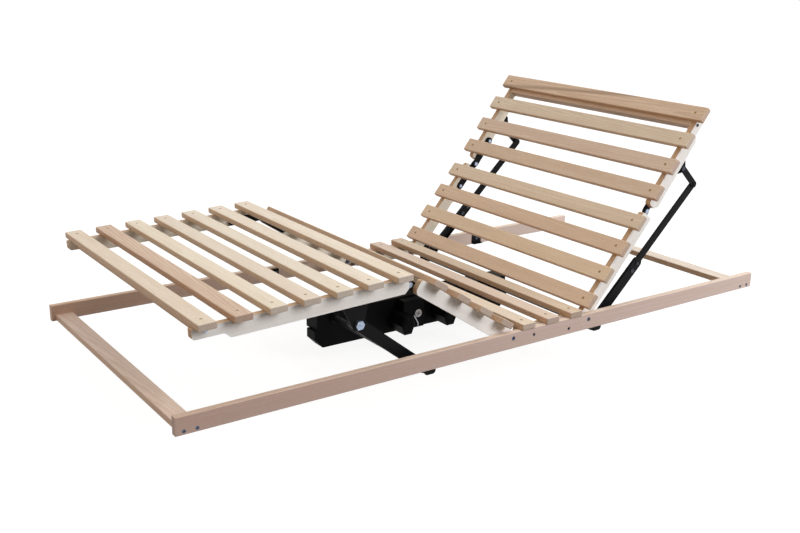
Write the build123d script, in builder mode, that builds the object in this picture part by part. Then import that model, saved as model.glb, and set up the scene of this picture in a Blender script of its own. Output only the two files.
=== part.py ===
from build123d import *
from math import atan2, cos, degrees, hypot, radians, sin, tan
import os

os.makedirs("parts", exist_ok=True)

# Adjustable slatted bed base in millimetres, in the raised pose.
# X runs from foot to head, Y across the bed, Z up from the undersides of the side rails.

# Outer frame of solid wood
frame_length = 1980
frame_width = 880
rail_height = 46
rail_thickness = 18
rail_edge = 1.5
cross_rail_width = 48
cross_rail_thickness = 18
cross_rail_inset = 12
corner_screw_spacing = 32
corner_screw_radius = 2.5
corner_screw_depth = 40
corner_head_radius = 4.8
corner_head_sink = 4

# Slats, and the countersunk screws that hold them and the brackets
slat_width = 46
slat_thickness = 17
slat_overhang = 3
slat_edge_radius = 3
slat_end_radius = 2
screw_radius = 2
screw_head_radius = 4
screw_head_angle = 82
slat_screw_depth = 32
bracket_screw_depth = 14

# Plywood rails under the sections
section_rail_height = 40
section_rail_thickness = 18
section_rail_gap = 4
section_rail_corner = 10
hip_corner = 14
hip_overrun = 18
shallow_height = 26
shallow_length = 78
shallow_run = 16
shallow_radius = 9
hinge_end_gap = 14
knee_bevel = 12
bevel_corner = 4
eased_corner = 2
seat_rail_clearance = 31

# Hinge axes, given as depths below the tops of the section rails
hip_axis_drop = 17
fold_axis_drop = 26

# Hip places, lengths between axes, and how far the free ends stop short of the frame's ends
thigh_hip_x = -19
back_hip_x = 262
thigh_span = 376
back_span = 370
leg_end_inset = 1
head_end_inset = 12

# Raised pose in degrees
thigh_angle = 33
leg_angle = 2
back_angle = 49.5
head_fold_angle = 2.5

# Slat rows: the first slat's distance from its section's axis, the last one's from the far end
thigh_first_slat = 48
thigh_last_slat = 58
thigh_slats = 4
leg_first_slat = 40
leg_last_slat = 29
leg_slats = 7
seat_pitch = 88
seat_slats = 3
back_first_slat = 44
back_last_slat = 56
back_slats = 4
head_first_slat = 49
head_last_slat = 27
head_slats = 4

# Cross boards on edge at the free ends of the leg and head sections
board_thickness = 18
board_gap = 1
leg_board_from_end = 34
head_board_from_end = 53
board_screw_radius = 2.5
board_screw_depth = 25
board_screw_rise = 4
board_head_radius = 4.5
board_head_height = 2

# Hip bolts and seat bolts
hip_bolt_radius = 4
hip_head_radius = 6.5
hip_head_height = 3
hip_head_sink = 5
hip_washer_radius = 10
hip_nut_radius = 7
hip_nut_height = 5
seat_bolt_radius = 3
seat_head_radius = 5
seat_bolt_foot_x = 55
seat_bolt_foot_drop = 21
seat_bolt_head_x = 186
seat_bolt_head_drop = 30
socket_radius = 2.8
socket_depth = 1.8

# Steel hinge strips at the knee and between back and head
strip_thickness = 3
strip_radius = 12
strip_length = 108
strip_gap = 0.4
strip_pad_start = 18
strip_bolt_from_end = 12
fold_pin_radius = 4
fold_head_radius = 7
fold_head_height = 4
strip_bolt_radius = 3
strip_bolt_depth = 10
strip_head_radius = 6
strip_head_height = 4

# Lift shafts, just below the rails of the flat sections, and the plates that carry them
shaft_drop = 6
leg_shaft_x = -284
back_shaft_x = 315
shaft_radius = 10
journal_radius = 7
journal_length = 3.4
shaft_end_gap = 0.5
shaft_collar_radius = 15
shaft_collar_length = 8
bracket_thickness = 3
bracket_width = 36
bracket_top_drop = 6
bracket_foot = 11
bracket_screw_drop = 18
bracket_screw_spacing = 20
rest_bracket_x = 549
rest_bracket_width = 40
rest_bracket_height = 30
rest_ledge_thickness = 3
rest_ledge_gap = 1

# Lift arms: pressed channels, open towards the middle of the bed; the back ones are shallow
arm_wall = 3
leg_arm_depth = 25
back_arm_depth = 10
arm_gap = 0.6
leg_arm_radius = 16
leg_pivot_s = -153
leg_pivot_n = -71
leg_bracket_foot_side = 47
leg_bracket_knee_side = 30
leg_bracket_lap = 24
leg_bracket_radius = 14
leg_bracket_bolt_spread = 24
leg_pivot_bolt_radius = 4
leg_pivot_nut_radius = 12.5
leg_pivot_nut_height = 9
back_arm_angle = 43.9
back_arm_length = 538.5
back_arm_radius = 15.5
back_arm_lap = 6
back_channel_length = 250
extension_start = 150
extension_radius = 11
extension_thickness = 6
arm_bolt_at = 204
arm_rivet_at = 232
arm_bolt_radius = 4
arm_bolt_head_radius = 6.5
arm_rivet_head_radius = 5
arm_bolt_head_height = 2.4

# Links from the arm ends up to plates on the head rails
link_pivot_s = 174
link_pivot_drop = 23
link_radius = 10
link_thickness = 3
link_gap = 0.3
link_pin_radius = 4
link_head_radius = 7
link_head_height = 3
link_boss_radius = 6
link_boss_height = 2.4
link_plate_half = 36
link_plate_thickness = 3
link_plate_shoulder = 6
link_flange_width = 11
link_screw_spread = 24
link_screw_radius = 2
link_screw_depth = 14
link_screw_from_face = 7
link_screw_head_radius = 3.5
link_screw_head_height = 1.8

# Twin drive that hangs on the two shafts, beyond the middle of the bed; heights are from their axis
drive_y = 74
drive_half_width = 22
housing_ledge = 16
drive_overhang = 58
cover_step = 8
cover_bevel = 28
drive_rise = 19
drive_depth = 88
seam_drop = 23
drive_wall = 3
motor_spacing = 160
motor_half_length = 24.5
motor_half_flat = 13
motor_half_height = 29
motor_depth = 48
motor_reach = 76
motor_edge = 6
socket_box_from_middle = 33
socket_box_length = 76
socket_box_rise = 15
socket_box_height = 91
socket_box_reach = 32
spindle_radius = 6
spindle_depth = 44
spindle_socket = 20
spindle_end_past_shaft = 45
spindle_collar_radius = 9
spindle_collar_length = 5
bearing_rib_thickness = 5
bearing_rib_rise = 4
bearing_rib_drop = 14
block_length = 30
block_half_width = 17
block_half_height = 8
block_pad_reach = 8
block_pad_radius = 5
block_lever_gap = 1.2
lever_length = 46
lever_hub_radius = 13
lever_nose_radius = 5
lever_thickness = 6
lever_half_spread = 12
leg_lever_angle = 18.5
back_lever_angle = 18.3
cap_thickness = 2.5
cap_length = 44
circuit_board_length = 70
circuit_board_width = 32
circuit_board_thickness = 1.6
circuit_board_lift = 7
circuit_post_radius = 3
circuit_part_length = 24
circuit_part_width = 20
circuit_part_height = 9
circuit_post_inset = 6
inlet_width = 22
inlet_height = 13
inlet_depth = 12

# Clearances
fit = 0.05
running = 0.3

# Places that follow from the sizes above
rail_inner_y = frame_width / 2 - rail_thickness
rail_mid_y = frame_width / 2 - rail_thickness / 2
section_outer_y = rail_inner_y - section_rail_gap
section_inner_y = section_outer_y - section_rail_thickness
section_mid_y = section_outer_y - section_rail_thickness / 2
hip_z = rail_height - hip_axis_drop
shaft_z = rail_height - section_rail_height - shaft_drop - shaft_radius
leg_span = frame_length / 2 - leg_end_inset + thigh_hip_x - thigh_span
head_span = frame_length / 2 - head_end_inset - back_hip_x - back_span
slat_length = frame_width + 2 * slat_overhang
fold_offset = hip_axis_drop - fold_axis_drop
strip_inner_y = section_inner_y - strip_thickness
leg_arm_y = strip_inner_y - arm_gap
leg_web_y = leg_arm_y - arm_wall
back_arm_y = section_inner_y + back_arm_lap
back_web_y = back_arm_y - arm_wall
link_inner_y = back_web_y + link_gap
link_outer_y = link_inner_y + link_thickness
drive_left = leg_shaft_x - drive_overhang
drive_right = back_shaft_x + drive_overhang
drive_top = shaft_z + drive_rise
drive_bottom = shaft_z - drive_depth
drive_seam = shaft_z - shaft_radius - seam_drop
drive_middle = (leg_shaft_x + back_shaft_x) / 2
drive_near = drive_y - drive_half_width
cover_far = drive_y + drive_half_width
housing_far = cover_far + housing_ledge
motor_z = shaft_z - motor_depth
leg_motor_x = drive_middle - motor_spacing / 2
back_motor_x = drive_middle + motor_spacing / 2
socket_box_x = drive_middle - socket_box_from_middle
socket_box_z = shaft_z + socket_box_rise - socket_box_height / 2
spindle_z = shaft_z - spindle_depth
bearing_rib_top = spindle_z + spindle_radius + bearing_rib_rise
bearing_rib_foot = spindle_z - bearing_rib_drop
bracket_inner_y = rail_inner_y - bracket_thickness
ledge_top = rail_height - section_rail_height - rest_ledge_gap
bracket_screws = [
    (x + side * bracket_screw_spacing / 2, rail_height - bracket_screw_drop)
    for x in (leg_shaft_x, back_shaft_x)
    for side in (-1, 1)
]
bracket_screws.append((rest_bracket_x, ledge_top + rest_bracket_height / 2))


def section_plane(x, z, angle):
    """Plane on a section's cross axis: x along the section, z out of its slats."""
    turn = radians(angle)
    return Plane((x, 0, z), x_dir=(cos(turn), 0, sin(turn)), z_dir=(-sin(turn), 0, cos(turn)))


def side_plane(section, y):
    """Upright plane along a section, seen from the near side."""
    return Plane(section.from_local_coords((0, y, 0)), x_dir=section.x_dir, z_dir=(0, -1, 0))


def level_plane(section, s, n):
    """Plane parallel to a section's slats."""
    return Plane(section.from_local_coords((s, 0, n)), x_dir=section.x_dir, z_dir=section.z_dir)


seat = section_plane(0, hip_z, 0)
thigh = section_plane(thigh_hip_x, hip_z, -thigh_angle)
knee = thigh.from_local_coords((-thigh_span, 0, fold_offset))
leg = section_plane(knee.X, knee.Z, leg_angle)
back = section_plane(back_hip_x, hip_z, back_angle)
neck = back.from_local_coords((back_span, 0, fold_offset))
head = section_plane(neck.X, neck.Z, back_angle + head_fold_angle)

leg_pivot = leg.from_local_coords((leg_pivot_s, 0, leg_pivot_n))
leg_arm_run = hypot(leg_pivot.X - leg_shaft_x, leg_pivot.Z - shaft_z)
leg_arm_angle = degrees(atan2(leg_pivot.Z - shaft_z, leg_pivot.X - leg_shaft_x))
leg_arm = section_plane(leg_shaft_x, shaft_z, leg_arm_angle)
back_arm = section_plane(back_shaft_x, shaft_z, back_arm_angle)
link_pivot_n = fold_axis_drop - section_rail_height - link_pivot_drop
link_top = head.from_local_coords((link_pivot_s, 0, link_pivot_n))
link_foot = back_arm.from_local_coords((back_arm_length, 0, 0))
link_run = hypot(link_foot.X - link_top.X, link_foot.Z - link_top.Z)
link_angle = degrees(atan2(link_foot.Z - link_top.Z, link_foot.X - link_top.X))
link = section_plane(link_top.X, link_top.Z, link_angle)


def slat_row(span, first, last, count):
    """Places of a section's slats, counted from its axis."""
    pitch = (span - first - last) / (count - 1)
    return [first + i * pitch for i in range(count)]


thigh_rows = [-s for s in slat_row(thigh_span, thigh_first_slat, thigh_last_slat, thigh_slats)][::-1]
leg_rows = [-s for s in slat_row(leg_span, leg_first_slat, leg_last_slat, leg_slats)][::-1]
seat_middle = (thigh_hip_x + back_hip_x) / 2
seat_rows = [seat_middle + (i - (seat_slats - 1) / 2) * seat_pitch for i in range(seat_slats)]
back_rows = slat_row(back_span, back_first_slat, back_last_slat, back_slats)
head_rows = slat_row(head_span, head_first_slat, head_last_slat, head_slats)
leg_board_s = -leg_span + leg_board_from_end
head_board_s = head_span - head_board_from_end
board_height = shallow_height - board_gap
board_n = fold_axis_drop - board_height / 2
board_screw_n = board_n + board_screw_rise
strip_bolt_s = strip_length - strip_bolt_from_end


def finish(piece, name):
    """Label one piece and write it."""
    piece.part.label = name
    export_step(piece.part, f"parts/{name}.step")


def pins(section, s, n, y_from, y_to, radius, mode=Mode.ADD, hands=(-1, 1)):
    """Round pins or holes across the bed, one on each side unless told otherwise."""
    place = section.from_local_coords((s, 0, n))
    for hand in hands:
        with Locations(Location((place.X, hand * (y_from + y_to) / 2, place.Z), (90, 0, 0))):
            Cylinder(radius, abs(y_to - y_from), mode=mode)


def slat_holes(section, rows, top):
    """Pilot holes under the slat screws, in a pair of section rails."""
    for s in rows:
        with Locations(level_plane(section, s, top)):
            with GridLocations(1, 2 * section_mid_y, 1, 2):
                Hole(screw_radius + fit, depth=slat_screw_depth - slat_thickness + running)


def countersunk_screws(depth):
    """Screws with their flat heads level with the places they are put."""
    sink = (screw_head_radius - screw_radius) / tan(radians(screw_head_angle / 2))
    hung = (Align.CENTER, Align.CENTER, Align.MAX)
    Cone(screw_radius, screw_head_radius, sink, align=hung)
    Cylinder(screw_radius, depth, align=hung)


def slat_screws(section, rows, top):
    """Countersunk screws down through each slat into both rails."""
    for s in rows:
        with Locations(level_plane(section, s, top + slat_thickness)):
            with GridLocations(1, 2 * section_mid_y, 1, 2):
                countersunk_screws(slat_screw_depth)


def bracket_faces():
    """Planes on the inner faces of the rail brackets, one at each screw."""
    return [
        Plane((x, hand * bracket_inner_y, z), x_dir=(1, 0, 0), z_dir=(0, -hand, 0))
        for x, z in bracket_screws
        for hand in (-1, 1)
    ]


def plate_pair(section, outline, radii, y_from, y_to):
    """Two flat pieces of one outline, one on each side of the bed."""
    with BuildPart() as pair:
        with BuildSketch(side_plane(section, (y_from + y_to) / 2)):
            with BuildLine():
                FilletPolyline(*outline, radius=radii, close=True)
            make_face()
        extrude(amount=abs(y_to - y_from) / 2, both=True)
        mirror(about=Plane.XZ)
    return pair.part


def bar_pair(section, s_from, s_to, n, radius, y_from, y_to):
    """Two round-ended flat bars, one on each side of the bed."""
    with BuildPart() as pair:
        with BuildSketch(side_plane(section, (y_from + y_to) / 2)):
            with Locations(((s_from + s_to) / 2, n)):
                SlotOverall(abs(s_to - s_from) + 2 * radius, 2 * radius)
        extrude(amount=abs(y_to - y_from) / 2, both=True)
        mirror(about=Plane.XZ)
    return pair.part


def hex_pieces(section, s, n, radius, y_from, y_to, hands=(-1, 1)):
    """Six-sided nuts, bolt heads or sockets across the bed."""
    with BuildPart() as pieces:
        for hand in hands:
            with BuildSketch(side_plane(section, hand * (y_from + y_to) / 2)):
                with Locations((s, n)):
                    RegularPolygon(radius, 6)
            extrude(amount=abs(y_to - y_from) / 2, both=True)
    return pieces.part


def channel_pair(section, run, radius, outer_y, depth):
    """Two round-ended channels with the web outside and the open side inside."""
    with BuildPart() as pair:
        with BuildSketch(side_plane(section, outer_y)):
            with Locations((run / 2, 0)):
                SlotOverall(run + 2 * radius, 2 * radius)
        extrude(amount=depth)
        with BuildSketch(side_plane(section, outer_y - arm_wall)):
            with Locations((run / 2, 0)):
                SlotOverall(run + 2 * (radius - arm_wall), 2 * (radius - arm_wall))
        extrude(amount=depth, mode=Mode.SUBTRACT)
        mirror(about=Plane.XZ)
    return pair.part


# Side rails, with counterbored corner screws and the hip and seat bolts
corner_middle = frame_length / 2 - cross_rail_inset - cross_rail_width / 2
corner_xs = [
    end * corner_middle + side * corner_screw_spacing / 2 for end in (-1, 1) for side in (-1, 1)
]
corner_z = cross_rail_thickness / 2
hip_xs = (thigh_hip_x, back_hip_x)
seat_bolts = (
    (seat_bolt_foot_x, rail_height - seat_bolt_foot_drop),
    (seat_bolt_head_x, rail_height - seat_bolt_head_drop),
)

for name, hand in (("side_rail_near", -1), ("side_rail_far", 1)):
    with BuildPart() as side_rail:
        with Locations((0, hand * rail_mid_y, rail_height / 2)):
            Box(frame_length, rail_thickness, rail_height)
        chamfer(side_rail.edges().filter_by(Axis.X), rail_edge)
        outer = Plane((0, hand * frame_width / 2, 0), x_dir=(-hand, 0, 0), z_dir=(0, hand, 0))
        with Locations(outer):
            with Locations(*[(-hand * x, corner_z) for x in corner_xs]):
                CounterBoreHole(
                    corner_screw_radius + fit,
                    corner_head_radius + fit,
                    corner_head_sink,
                )
            with Locations(*[(-hand * x, hip_z) for x in hip_xs]):
                CounterBoreHole(hip_bolt_radius + fit, hip_head_radius + fit, hip_head_sink)
            with Locations(*[(-hand * x, z) for x, z in seat_bolts]):
                CounterBoreHole(seat_bolt_radius + fit, seat_head_radius + fit, hip_head_sink)
        for x, z in bracket_screws:
            pins(
                seat,
                x,
                z - hip_z,
                rail_inner_y,
                bracket_inner_y + bracket_screw_depth + running,
                screw_radius + fit,
                Mode.SUBTRACT,
            )
    finish(side_rail, name)

# Flat cross rails between the side rails, flush with their undersides
for name, end in (("foot_cross_rail", -1), ("head_cross_rail", 1)):
    with BuildPart() as cross_rail:
        with Locations((end * corner_middle, 0, cross_rail_thickness / 2)):
            Box(cross_rail_width, 2 * rail_inner_y, cross_rail_thickness)
        chamfer(cross_rail.edges().filter_by(Axis.Y), rail_edge)
        for side in (-1, 1):
            x = end * corner_middle + side * corner_screw_spacing / 2
            pins(
                seat,
                x,
                corner_z - hip_z,
                rail_inner_y,
                rail_inner_y - corner_screw_depth,
                corner_screw_radius + fit,
                Mode.SUBTRACT,
            )
    finish(cross_rail, name)

# Slats, all alike, screwed down at both ends
slat_groups = (
    ("leg_slat", leg, leg_rows, fold_axis_drop),
    ("thigh_slat", thigh, thigh_rows, hip_axis_drop),
    ("seat_slat", seat, seat_rows, hip_axis_drop),
    ("back_slat", back, back_rows, hip_axis_drop),
    ("head_slat", head, head_rows, fold_axis_drop),
)
for group, section, rows, top in slat_groups:
    for i, s in enumerate(rows):
        with BuildPart() as slat:
            with BuildSketch(level_plane(section, s, top)):
                Rectangle(slat_width, slat_length)
            extrude(amount=slat_thickness)
            fillet(slat.edges().filter_by(Axis.Y), slat_edge_radius)
            fillet(slat.faces().filter_by(Axis.Y).edges(), slat_end_radius)
            with Locations(level_plane(section, s, top + slat_thickness)):
                with GridLocations(1, 2 * section_mid_y, 1, 2):
                    CounterSinkHole(
                        screw_radius + fit,
                        screw_head_radius + fit,
                        counter_sink_angle=screw_head_angle,
                    )
        finish(slat, f"{group}_{i + 1}")

# Section rails in plywood, one pair for each section
hip_bottom = hip_axis_drop - section_rail_height
thigh_blank = plate_pair(
    thigh,
    [
        (-thigh_span + hinge_end_gap, hip_axis_drop),
        (hip_overrun, hip_axis_drop),
        (hip_overrun, hip_bottom),
        (-thigh_span + hinge_end_gap, hip_bottom),
    ],
    [section_rail_corner, section_rail_corner, hip_corner, hip_corner],
    section_inner_y,
    section_outer_y,
)
with BuildPart() as thigh_rails:
    add(thigh_blank)
    slat_holes(thigh, thigh_rows, hip_axis_drop)
    pins(thigh, 0, 0, section_inner_y, section_outer_y, hip_bolt_radius + fit, Mode.SUBTRACT)
    pins(
        thigh,
        -thigh_span + strip_bolt_s,
        fold_offset,
        section_inner_y,
        section_inner_y + strip_bolt_depth + running,
        strip_bolt_radius + fit,
        Mode.SUBTRACT,
    )
finish(thigh_rails, "thigh_rails")

back_blank = plate_pair(
    back,
    [
        (-hip_overrun, hip_axis_drop),
        (back_span - hinge_end_gap, hip_axis_drop),
        (back_span - hinge_end_gap, hip_bottom),
        (-hip_overrun, hip_bottom),
    ],
    [section_rail_corner, section_rail_corner, section_rail_corner, hip_corner],
    section_inner_y,
    section_outer_y,
)
with BuildPart() as back_rails:
    add(back_blank)
    slat_holes(back, back_rows, hip_axis_drop)
    pins(back, 0, 0, section_inner_y, section_outer_y, hip_bolt_radius + fit, Mode.SUBTRACT)
    pins(
        back,
        back_span - strip_bolt_s,
        fold_offset,
        section_inner_y,
        section_inner_y + strip_bolt_depth + running,
        strip_bolt_radius + fit,
        Mode.SUBTRACT,
    )
finish(back_rails, "back_rails")

# The leg and head rails are shallower at the free end, where they pass over a cross rail
fold_bottom = fold_axis_drop - section_rail_height
shallow_bottom = fold_axis_drop - shallow_height
leg_bracket_bolt_n = fold_bottom + leg_bracket_lap / 2
leg_bracket_bolts = [leg_pivot_s + side * leg_bracket_bolt_spread for side in (-1, 1)]
link_flange_n = fold_bottom - link_plate_thickness
link_screw_y = section_inner_y + link_screw_from_face
link_screws = [link_pivot_s + side * link_screw_spread for side in (-1, 1)]
upward = (Align.CENTER, Align.CENTER, Align.MIN)
downward = (Align.CENTER, Align.CENTER, Align.MAX)
leg_blank = plate_pair(
    leg,
    [
        (-leg_span, fold_axis_drop),
        (-hinge_end_gap, fold_axis_drop),
        (-hinge_end_gap, fold_bottom + knee_bevel),
        (-hinge_end_gap - knee_bevel, fold_bottom),
        (-leg_span + shallow_length + shallow_run, fold_bottom),
        (-leg_span + shallow_length, shallow_bottom),
        (-leg_span, shallow_bottom),
    ],
    [
        eased_corner,
        section_rail_corner,
        bevel_corner,
        bevel_corner,
        shallow_radius,
        shallow_radius,
        shallow_radius,
    ],
    section_inner_y,
    section_outer_y,
)
with BuildPart() as leg_rails:
    add(leg_blank)
    slat_holes(leg, leg_rows, fold_axis_drop)
    pins(
        leg,
        leg_board_s,
        board_screw_n,
        section_inner_y,
        section_outer_y,
        board_screw_radius + fit,
        Mode.SUBTRACT,
    )
    for s, n, hands in [(-strip_bolt_s, 0, (-1, 1))] + [
        (s, leg_bracket_bolt_n, (-1,)) for s in leg_bracket_bolts
    ]:
        pins(
            leg,
            s,
            n,
            section_inner_y,
            section_inner_y + strip_bolt_depth + running,
            strip_bolt_radius + fit,
            Mode.SUBTRACT,
            hands,
        )
finish(leg_rails, "leg_rails")

head_blank = plate_pair(
    head,
    [
        (hinge_end_gap, fold_axis_drop),
        (head_span, fold_axis_drop),
        (head_span, shallow_bottom),
        (head_span - shallow_length, shallow_bottom),
        (head_span - shallow_length - shallow_run, fold_bottom),
        (hinge_end_gap + knee_bevel, fold_bottom),
        (hinge_end_gap, fold_bottom + knee_bevel),
    ],
    [
        section_rail_corner,
        eased_corner,
        shallow_radius,
        shallow_radius,
        shallow_radius,
        bevel_corner,
        bevel_corner,
    ],
    section_inner_y,
    section_outer_y,
)
with BuildPart() as head_rails:
    add(head_blank)
    slat_holes(head, head_rows, fold_axis_drop)
    pins(
        head,
        head_board_s,
        board_screw_n,
        section_inner_y,
        section_outer_y,
        board_screw_radius + fit,
        Mode.SUBTRACT,
    )
    pins(
        head,
        strip_bolt_s,
        0,
        section_inner_y,
        section_inner_y + strip_bolt_depth + running,
        strip_bolt_radius + fit,
        Mode.SUBTRACT,
    )
    for s in link_screws:
        with Locations(level_plane(head, s, fold_bottom)):
            with GridLocations(1, 2 * link_screw_y, 1, 2):
                Cylinder(
                    link_screw_radius + fit,
                    link_screw_depth + running,
                    align=upward,
                    mode=Mode.SUBTRACT,
                )
finish(head_rails, "head_rails")

seat_start = thigh_hip_x + seat_rail_clearance
seat_end = back_hip_x - seat_rail_clearance
seat_blank = plate_pair(
    seat,
    [
        (seat_start, hip_axis_drop),
        (seat_end, hip_axis_drop),
        (seat_end, hip_bottom),
        (seat_start, hip_bottom),
    ],
    [eased_corner, eased_corner, section_rail_corner, section_rail_corner],
    section_inner_y,
    section_outer_y,
)
with BuildPart() as seat_rails:
    add(seat_blank)
    slat_holes(seat, seat_rows, hip_axis_drop)
    for x, z in seat_bolts:
        pins(
            seat,
            x,
            z - hip_z,
            section_inner_y,
            section_outer_y,
            seat_bolt_radius + fit,
            Mode.SUBTRACT,
        )
finish(seat_rails, "seat_rails")

# Cross boards between the leg rails and between the head rails
for name, section, s in (
    ("leg_cross_board", leg, leg_board_s),
    ("head_cross_board", head, head_board_s),
):
    with BuildPart() as cross_board:
        with BuildSketch(level_plane(section, s, board_n)):
            Rectangle(board_thickness, 2 * section_inner_y)
        extrude(amount=board_height / 2, both=True)
        chamfer(cross_board.edges().filter_by(Axis.Y), rail_edge)
        pins(
            section,
            s,
            board_screw_n,
            section_inner_y,
            section_inner_y - board_screw_depth,
            board_screw_radius + fit,
            Mode.SUBTRACT,
        )
    finish(cross_board, name)

# Hinge strips: a flat one on one section and a joggled one beside it on the other
joggle_y = strip_inner_y - strip_gap
joggle_inner_y = joggle_y - strip_thickness
for name, section, axis_s, axis_n, away in (
    ("thigh_strips", thigh, -thigh_span, fold_offset, 1),
    ("back_strips", back, back_span, fold_offset, -1),
):
    strip_blank = bar_pair(
        section,
        axis_s,
        axis_s + away * (strip_length - strip_radius),
        axis_n,
        strip_radius,
        strip_inner_y,
        section_inner_y,
    )
    with BuildPart() as flat_strips:
        add(strip_blank)
        pins(
            section,
            axis_s,
            axis_n,
            strip_inner_y,
            section_inner_y,
            fold_pin_radius + fit,
            Mode.SUBTRACT,
        )
        pins(
            section,
            axis_s + away * strip_bolt_s,
            axis_n,
            strip_inner_y,
            section_inner_y,
            strip_bolt_radius + fit,
            Mode.SUBTRACT,
        )
    finish(flat_strips, name)

link_plate_y = section_inner_y + link_plate_thickness
link_plate_blank = plate_pair(
    head,
    [
        (link_pivot_s - link_plate_half, fold_bottom),
        (link_pivot_s + link_plate_half, fold_bottom),
        (link_pivot_s + link_plate_half, fold_bottom - link_plate_shoulder),
        (link_pivot_s + link_radius, link_pivot_n - link_radius),
        (link_pivot_s - link_radius, link_pivot_n - link_radius),
        (link_pivot_s - link_plate_half, fold_bottom - link_plate_shoulder),
    ],
    6 * [eased_corner],
    section_inner_y,
    link_plate_y,
)
flange_mid_y = section_inner_y + link_flange_width / 2
with BuildPart() as link_plates:
    add(link_plate_blank)
    with BuildSketch(level_plane(head, link_pivot_s, fold_bottom)):
        with GridLocations(1, 2 * flange_mid_y, 1, 2):
            Rectangle(2 * link_plate_half, link_flange_width)
    extrude(amount=-link_plate_thickness)
    pins(
        head,
        link_pivot_s,
        link_pivot_n,
        section_inner_y,
        link_plate_y,
        link_pin_radius + fit,
        Mode.SUBTRACT,
    )
    for s in link_screws:
        with Locations(level_plane(head, s, fold_bottom)):
            with GridLocations(1, 2 * link_screw_y, 1, 2):
                Cylinder(
                    link_screw_radius + fit,
                    link_plate_thickness,
                    align=downward,
                    mode=Mode.SUBTRACT,
                )

for name, section, away, plates in (
    ("leg_strips", leg, -1, []),
    ("head_strips", head, 1, [link_plates.part]),
):
    strip_blank = bar_pair(
        section,
        0,
        away * (strip_length - strip_radius),
        0,
        strip_radius,
        joggle_inner_y,
        joggle_y,
    )
    pad_blank = bar_pair(
        section,
        away * (strip_pad_start + strip_radius),
        away * (strip_length - strip_radius),
        0,
        strip_radius,
        joggle_y,
        section_inner_y,
    )
    with BuildPart() as joggled_strips:
        add(strip_blank)
        add(pad_blank)
        for plate in plates:
            add(plate)
        pins(section, 0, 0, joggle_inner_y, joggle_y, fold_pin_radius + fit, Mode.SUBTRACT)
        pins(
            section,
            away * strip_bolt_s,
            0,
            joggle_inner_y,
            section_inner_y,
            strip_bolt_radius + fit,
            Mode.SUBTRACT,
        )
    finish(joggled_strips, name)


fold_nut_y = joggle_inner_y - running


def fold_pins(section, s, n):
    """Fold pins with a round head outside the flat strip."""
    pins(section, s, n, section_inner_y, fold_nut_y, fold_pin_radius)
    pins(section, s, n, section_inner_y, section_inner_y + fold_head_height, fold_head_radius)


def fold_nuts(section, s, n):
    """Nuts of the fold pins, inside the joggled strip."""
    return hex_pieces(section, s, n, fold_head_radius, fold_nut_y, fold_nut_y - fold_head_height)


def strip_shanks(section, s, n, face_y, hands=(-1, 1)):
    """Shanks of the bolts that hold a strip or bracket to its rail."""
    depth_y = section_inner_y + strip_bolt_depth
    pins(section, s, n, face_y, depth_y, strip_bolt_radius, Mode.ADD, hands)


def strip_heads(section, s, n, face_y, hands=(-1, 1)):
    """Heads of those bolts, on the inner face of the strip or bracket."""
    return hex_pieces(section, s, n, strip_head_radius, face_y, face_y - strip_head_height, hands)


def board_screws(section, s):
    """Screws through the section rails into the ends of a cross board."""
    pins(
        section,
        s,
        board_screw_n,
        section_outer_y,
        section_inner_y - board_screw_depth + running,
        board_screw_radius,
    )
    pins(
        section,
        s,
        board_screw_n,
        section_outer_y,
        section_outer_y + board_head_height,
        board_head_radius,
    )


# Fasteners of each section
thigh_nuts = fold_nuts(thigh, -thigh_span, fold_offset)
thigh_heads = strip_heads(thigh, -thigh_span + strip_bolt_s, fold_offset, strip_inner_y)
with BuildPart() as thigh_fasteners:
    slat_screws(thigh, thigh_rows, hip_axis_drop)
    fold_pins(thigh, -thigh_span, fold_offset)
    add(thigh_nuts)
    strip_shanks(thigh, -thigh_span + strip_bolt_s, fold_offset, strip_inner_y)
    add(thigh_heads)
finish(thigh_fasteners, "thigh_fasteners")

back_nuts = fold_nuts(back, back_span, fold_offset)
back_heads = strip_heads(back, back_span - strip_bolt_s, fold_offset, strip_inner_y)
with BuildPart() as back_fasteners:
    slat_screws(back, back_rows, hip_axis_drop)
    fold_pins(back, back_span, fold_offset)
    add(back_nuts)
    strip_shanks(back, back_span - strip_bolt_s, fold_offset, strip_inner_y)
    add(back_heads)
finish(back_fasteners, "back_fasteners")

leg_heads = [strip_heads(leg, -strip_bolt_s, 0, joggle_inner_y)]
for s in leg_bracket_bolts:
    leg_heads.append(strip_heads(leg, s, leg_bracket_bolt_n, strip_inner_y, (-1,)))
leg_pivot_nut = hex_pieces(
    leg,
    leg_pivot_s,
    leg_pivot_n,
    leg_pivot_nut_radius,
    section_inner_y,
    section_inner_y + leg_pivot_nut_height,
    (-1,),
)
with BuildPart() as leg_fasteners:
    slat_screws(leg, leg_rows, fold_axis_drop)
    board_screws(leg, leg_board_s)
    strip_shanks(leg, -strip_bolt_s, 0, joggle_inner_y)
    for s in leg_bracket_bolts:
        strip_shanks(leg, s, leg_bracket_bolt_n, strip_inner_y, (-1,))
    for heads in leg_heads:
        add(heads)
    pins(
        leg,
        leg_pivot_s,
        leg_pivot_n,
        strip_inner_y,
        section_inner_y,
        leg_pivot_bolt_radius,
        Mode.ADD,
        (-1,),
    )
    add(leg_pivot_nut)
finish(leg_fasteners, "leg_fasteners")

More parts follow.
